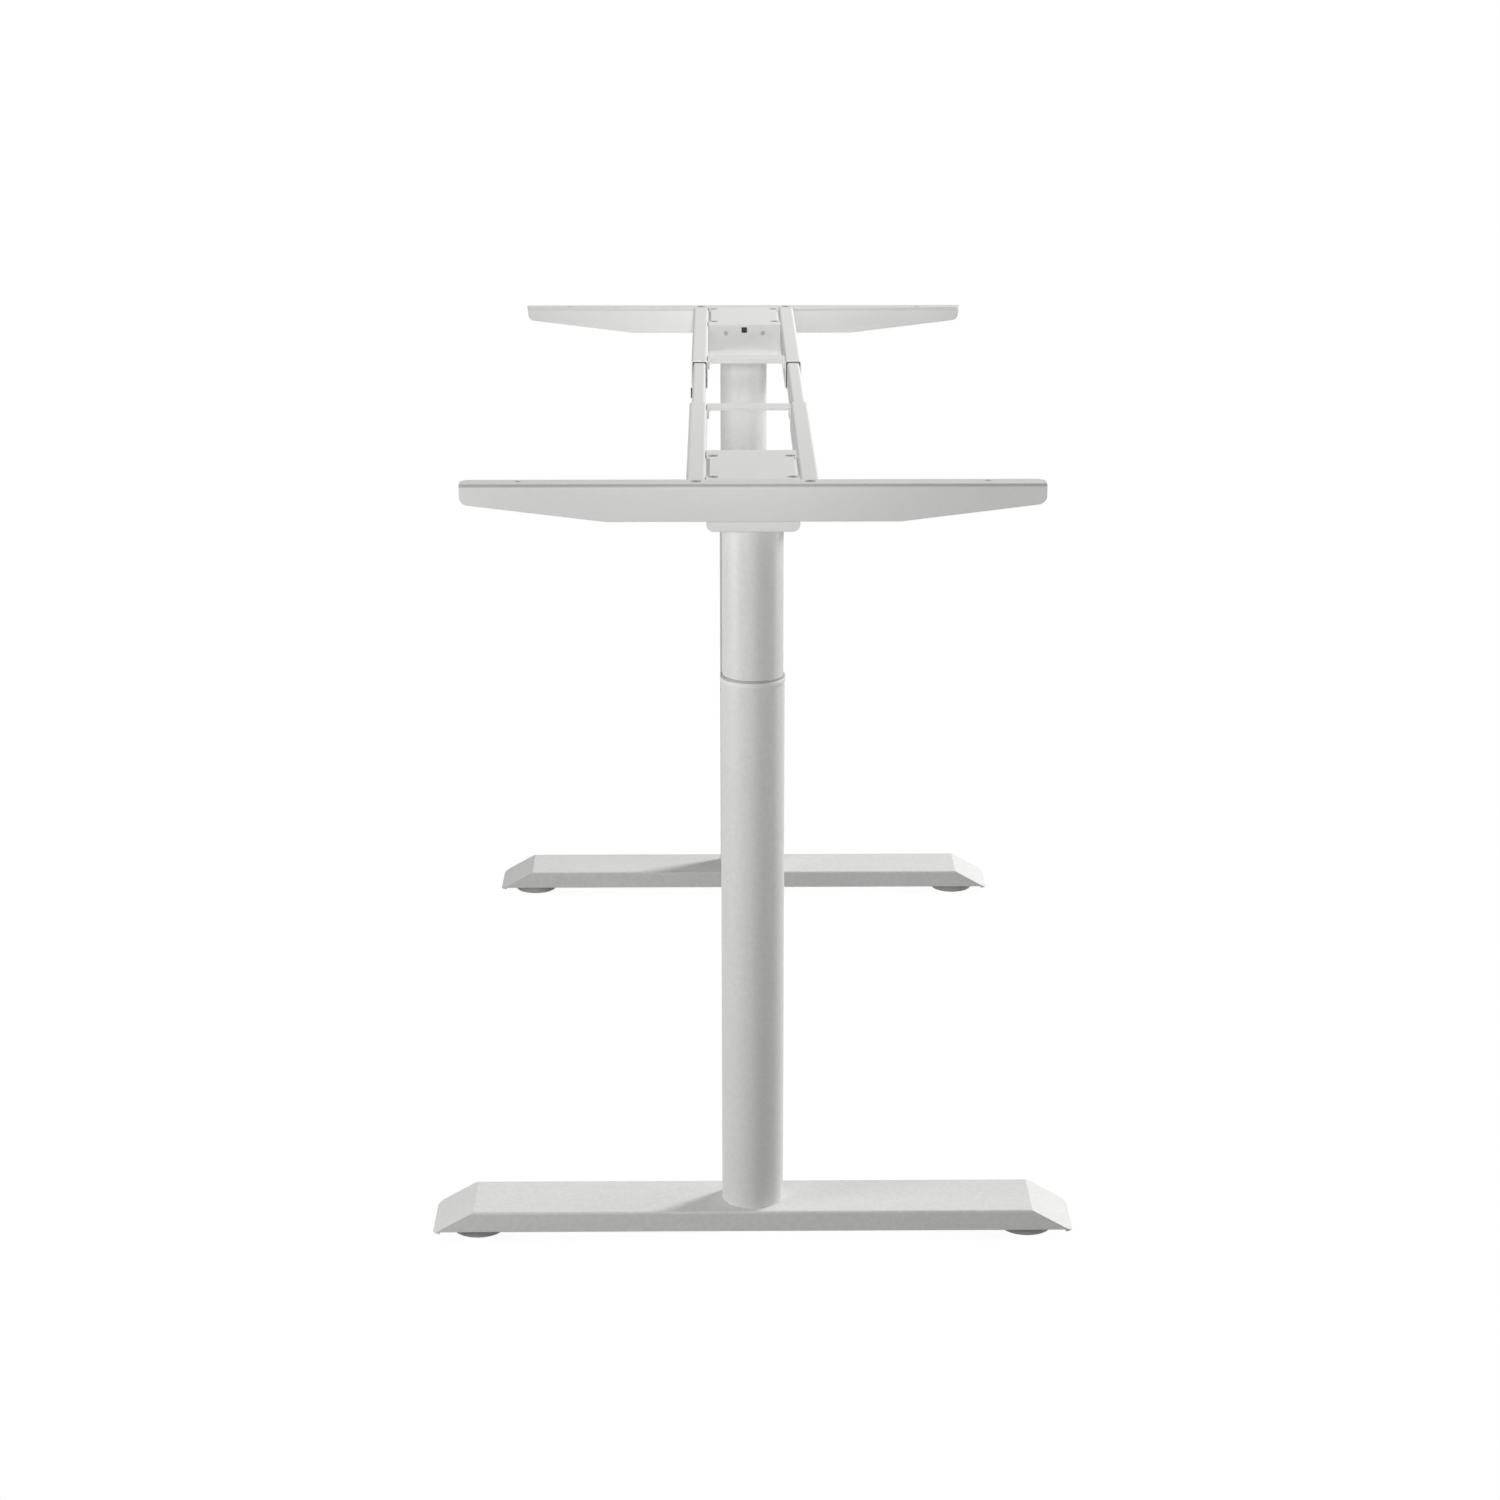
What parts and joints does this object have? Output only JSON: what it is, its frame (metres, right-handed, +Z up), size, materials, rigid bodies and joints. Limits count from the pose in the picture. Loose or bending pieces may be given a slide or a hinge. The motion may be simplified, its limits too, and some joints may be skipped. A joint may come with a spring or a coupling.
{
  "type": "standing desk frame",
  "caption": "Height-adjustable standing desk frame: round telescopic columns on pressed T feet, joined by a telescopic crossbar with table brackets.",
  "frame": {"origin": "on the floor, midway between the two columns", "axes": "+X along the feet, +Y along the crossbar from the near to the far column, +Z up"},
  "size_m": [0.6812, 1.207, 0.8206],
  "materials": {
    "bracket_paint": "satin",
    "housing_paint": "satin",
    "rail_paint": "satin",
    "column_paint": "satin",
    "foot_paint": "satin",
    "guide_plastic": "matte",
    "collar_plastic": "matte",
    "cast_metal": "cast",
    "motor_metal": "satin",
    "bright_steel": "satin",
    "zinc_steel": "satin",
    "screw_steel": "satin",
    "lock_plastic": "matte",
    "black_plastic": "matte",
    "nut_plastic": "matte",
    "glide_plastic": "matte"
  },
  "bodies": {
    "near_head": {"near_bracket": "bracket_paint", "near_housing": "housing_paint", "near_cover": "housing_paint", "near_upper_tube": "column_paint", "near_guide_pads": "guide_plastic", "near_gear_case": "cast_metal", "near_motor": "motor_metal", "near_left_sleeve": "rail_paint", "near_right_sleeve": "rail_paint", "near_tie": "rail_paint", "near_nut_blocks": "zinc_steel", "near_bracket_screws": "screw_steel", "near_housing_screws": "screw_steel", "near_lock_screws": "lock_plastic", "near_cable_socket": "black_plastic"},
    "near_leg": {"near_lower_tube": "column_paint", "near_collar": "collar_plastic", "near_base_plate": "zinc_steel", "near_nut_tube": "zinc_steel", "near_spindle_nut": "nut_plastic", "near_foot": "foot_paint", "near_foot_bolts": "zinc_steel", "near_nut_plates": "zinc_steel"},
    "near_spindle": {"near_spindle": "bright_steel"},
    "near_left_glide": {"near_left_glide": "glide_plastic"},
    "near_left_stud": {"near_left_stud": "zinc_steel"},
    "near_right_glide": {"near_right_glide": "glide_plastic"},
    "near_right_stud": {"near_right_stud": "zinc_steel"},
    "far_head": {"far_bracket": "bracket_paint", "far_housing": "housing_paint", "far_cover": "housing_paint", "far_upper_tube": "column_paint", "far_guide_pads": "guide_plastic", "far_gear_case": "cast_metal", "far_motor": "motor_metal", "far_left_sleeve": "rail_paint", "far_right_sleeve": "rail_paint", "far_tie": "rail_paint", "far_nut_blocks": "zinc_steel", "far_bracket_screws": "screw_steel", "far_housing_screws": "screw_steel", "far_lock_screws": "lock_plastic", "far_cable_socket": "black_plastic"},
    "far_leg": {"far_lower_tube": "column_paint", "far_collar": "collar_plastic", "far_base_plate": "zinc_steel", "far_nut_tube": "zinc_steel", "far_spindle_nut": "nut_plastic", "far_foot": "foot_paint", "far_foot_bolts": "zinc_steel", "far_nut_plates": "zinc_steel"},
    "far_spindle": {"far_spindle": "bright_steel"},
    "far_left_glide": {"far_left_glide": "glide_plastic"},
    "far_left_stud": {"far_left_stud": "zinc_steel"},
    "far_right_glide": {"far_right_glide": "glide_plastic"},
    "far_right_stud": {"far_right_stud": "zinc_steel"},
    "centre_rail_left": {"centre_rail_left": "rail_paint"},
    "centre_rail_right": {"centre_rail_right": "rail_paint"}
  },
  "joints": [
    {"name": "frame_width", "type": "slide", "parent": "near_head", "child": "far_head", "axis": [0, 1, 0], "range_m": [-0.284, 0.236]},
    {"name": "centre_rail_left_slide", "type": "slide", "parent": "near_head", "child": "centre_rail_left", "axis": [0, 1, 0], "range_m": [-0.142, 0.118]},
    {"name": "centre_rail_right_slide", "type": "slide", "parent": "near_head", "child": "centre_rail_right", "axis": [0, 1, 0], "range_m": [-0.142, 0.118]},
    {"name": "near_lift", "type": "slide", "parent": "near_head", "child": "near_leg", "axis": [0, 0, -1], "range_m": [-0.115, 0.3]},
    {"name": "near_spindle_turn", "type": "hinge", "parent": "near_head", "child": "near_spindle", "pos_m": [0, -0.5625, 0.5], "axis": [0, 0, 1], "range_deg": [-4140.5, 10800.5]},
    {"name": "far_lift", "type": "slide", "parent": "far_head", "child": "far_leg", "axis": [0, 0, -1], "range_m": [-0.115, 0.3]},
    {"name": "far_spindle_turn", "type": "hinge", "parent": "far_head", "child": "far_spindle", "pos_m": [0, 0.5625, 0.5], "axis": [0, 0, 1], "range_deg": [-4140.5, 10800.5]},
    {"name": "near_left_glide_level", "type": "slide", "parent": "near_leg", "child": "near_left_glide", "axis": [0, 0, -1], "range_m": [0, 0.006]},
    {"name": "near_left_stud_turn", "type": "hinge", "parent": "near_left_glide", "child": "near_left_stud", "pos_m": [-0.294, -0.5625, 0.014], "axis": [0, 0, 1], "range_deg": [0, 1728.5]},
    {"name": "near_right_glide_level", "type": "slide", "parent": "near_leg", "child": "near_right_glide", "axis": [0, 0, -1], "range_m": [0, 0.006]},
    {"name": "near_right_stud_turn", "type": "hinge", "parent": "near_right_glide", "child": "near_right_stud", "pos_m": [0.294, -0.5625, 0.014], "axis": [0, 0, 1], "range_deg": [0, 1728.5]},
    {"name": "far_left_glide_level", "type": "slide", "parent": "far_leg", "child": "far_left_glide", "axis": [0, 0, -1], "range_m": [0, 0.006]},
    {"name": "far_left_stud_turn", "type": "hinge", "parent": "far_left_glide", "child": "far_left_stud", "pos_m": [-0.294, 0.5625, 0.014], "axis": [0, 0, 1], "range_deg": [0, 1728.5]},
    {"name": "far_right_glide_level", "type": "slide", "parent": "far_leg", "child": "far_right_glide", "axis": [0, 0, -1], "range_m": [0, 0.006]},
    {"name": "far_right_stud_turn", "type": "hinge", "parent": "far_right_glide", "child": "far_right_stud", "pos_m": [0.294, 0.5625, 0.014], "axis": [0, 0, 1], "range_deg": [0, 1728.5]}
  ],
  "couplings": [
    {"joint": "centre_rail_left_slide", "follows": "frame_width", "ratio": 0.5},
    {"joint": "centre_rail_right_slide", "follows": "frame_width", "ratio": 0.5},
    {"joint": "far_lift", "follows": "near_lift", "ratio": 1},
    {"joint": "near_spindle_turn", "follows": "near_lift", "rad_per_m": 628.32},
    {"joint": "far_spindle_turn", "follows": "near_lift", "rad_per_m": 628.32},
    {"joint": "near_left_stud_turn", "follows": "near_left_glide_level", "rad_per_m": 5026.5},
    {"joint": "near_right_stud_turn", "follows": "near_right_glide_level", "rad_per_m": 5026.5},
    {"joint": "far_left_stud_turn", "follows": "far_left_glide_level", "rad_per_m": 5026.5},
    {"joint": "far_right_stud_turn", "follows": "far_right_glide_level", "rad_per_m": 5026.5}
  ]
}
